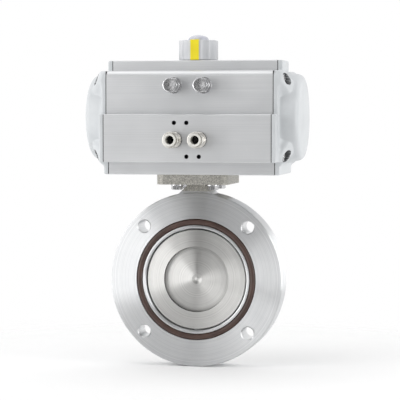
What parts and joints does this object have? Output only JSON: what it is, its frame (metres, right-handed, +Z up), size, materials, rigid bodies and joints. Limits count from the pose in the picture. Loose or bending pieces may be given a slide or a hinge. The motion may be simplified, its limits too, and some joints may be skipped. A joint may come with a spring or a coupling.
{
  "type": "high-vacuum butterfly valve with pneumatic actuator",
  "caption": "Wafer butterfly valve closed by a round disc, with a flanged ring, a short neck and a rack-and-pinion air actuator carrying a turning position indicator.",
  "frame": {"origin": "where the pipe axis meets the stem axis, in the middle of the flange", "axes": "+Z up along the stem to the actuator, -Y out of the front of the pipe flange (the air-port side), +X to the right seen from the front"},
  "size_m": [0.208, 0.1232, 0.3224],
  "materials": {
    "valve_metal": "turned flange faces with a rough as-cast neck and pad",
    "disc_metal": "turned finish, round marks about the centre",
    "stem_metal": "ground",
    "fastener_metal": "bright stainless",
    "anodised_metal": "clear anodised extrusion with fine drawn lines",
    "cap_paint": "satin powder coat on a casting",
    "piston_metal": "machined casting",
    "gear_metal": "machined and plated",
    "bush_metal": "bronze bush",
    "nickel_plate": "nickel plated brass",
    "brown_rubber": "brown fluoro rubber",
    "black_rubber": "black rubber",
    "bearing_plastic": "low-friction plastic",
    "collet_plastic": "grey release ring",
    "knob_plastic": "light grey moulded plastic",
    "pointer_plastic": "yellow moulded plastic"
  },
  "bodies": {
    "housing": {"valve_body": "valve_metal", "face_seal_front": "brown_rubber", "face_seal_back": "brown_rubber", "stem_bush_upper": "bush_metal", "stem_bush_lower": "bush_metal", "gland_bush": "bush_metal", "mounting_bolts": "fastener_metal", "mounting_washers": "fastener_metal", "actuator_body": "anodised_metal", "end_cap_left": "cap_paint", "end_cap_right": "cap_paint", "cap_gasket_left": "black_rubber", "cap_gasket_right": "black_rubber", "cap_screws_left": "fastener_metal", "cap_screws_right": "fastener_metal", "pinion_bearing_bottom": "bearing_plastic", "pinion_bearing_top": "bearing_plastic", "thrust_washer": "bearing_plastic", "stop_nuts": "fastener_metal", "stop_seal_washers": "fastener_metal", "air_fitting_left": "nickel_plate", "air_fitting_right": "nickel_plate", "fitting_washers": "black_rubber"},
    "drive": {"stem": "stem_metal", "stem_o_rings": "black_rubber", "disc": "disc_metal", "disc_o_ring": "black_rubber", "disc_screws": "fastener_metal", "drive_sleeve": "gear_metal", "pinion": "gear_metal", "pinion_o_rings": "black_rubber", "stop_cam": "gear_metal", "circlip": "stem_metal", "indicator_knob": "knob_plastic", "indicator_pointer": "pointer_plastic", "indicator_screw": "fastener_metal", "indicator_cap": "knob_plastic"},
    "piston_left": {"piston_left": "piston_metal", "piston_guide_band_left": "bearing_plastic", "piston_o_ring_left": "black_rubber", "rack_guide_pad_left": "bearing_plastic"},
    "piston_right": {"piston_right": "piston_metal", "piston_guide_band_right": "bearing_plastic", "piston_o_ring_right": "black_rubber", "rack_guide_pad_right": "bearing_plastic"},
    "stop_bolt_left": {"stop_bolt_left": "fastener_metal"},
    "stop_bolt_right": {"stop_bolt_right": "fastener_metal"},
    "collet_left": {"collet_left": "collet_plastic"},
    "collet_right": {"collet_right": "collet_plastic"}
  },
  "joints": [
    {"name": "drive_turn", "type": "hinge", "parent": "housing", "child": "drive", "pos_m": [0, 0, 0], "axis": [0, 0, 1], "range_deg": [0, 90]},
    {"name": "piston_left_slide", "type": "slide", "parent": "housing", "child": "piston_left", "axis": [-1, 0, 0], "range_m": [0, 0.0252]},
    {"name": "piston_right_slide", "type": "slide", "parent": "housing", "child": "piston_right", "axis": [1, 0, 0], "range_m": [0, 0.0252]},
    {"name": "stop_bolt_left_slide", "type": "slide", "parent": "housing", "child": "stop_bolt_left", "axis": [0, -1, 0], "range_m": [0, 0.004]},
    {"name": "stop_bolt_right_slide", "type": "slide", "parent": "housing", "child": "stop_bolt_right", "axis": [0, -1, 0], "range_m": [0, 0.004]},
    {"name": "collet_left_slide", "type": "slide", "parent": "housing", "child": "collet_left", "axis": [0, 1, 0], "range_m": [0, 0.0016], "stiffness_N_per_m": 300},
    {"name": "collet_right_slide", "type": "slide", "parent": "housing", "child": "collet_right", "axis": [0, 1, 0], "range_m": [0, 0.0016], "stiffness_N_per_m": 300}
  ],
  "couplings": [
    {"joint": "piston_left_slide", "follows": "drive_turn", "m_per_rad": 0.016},
    {"joint": "piston_right_slide", "follows": "drive_turn", "m_per_rad": 0.016}
  ]
}
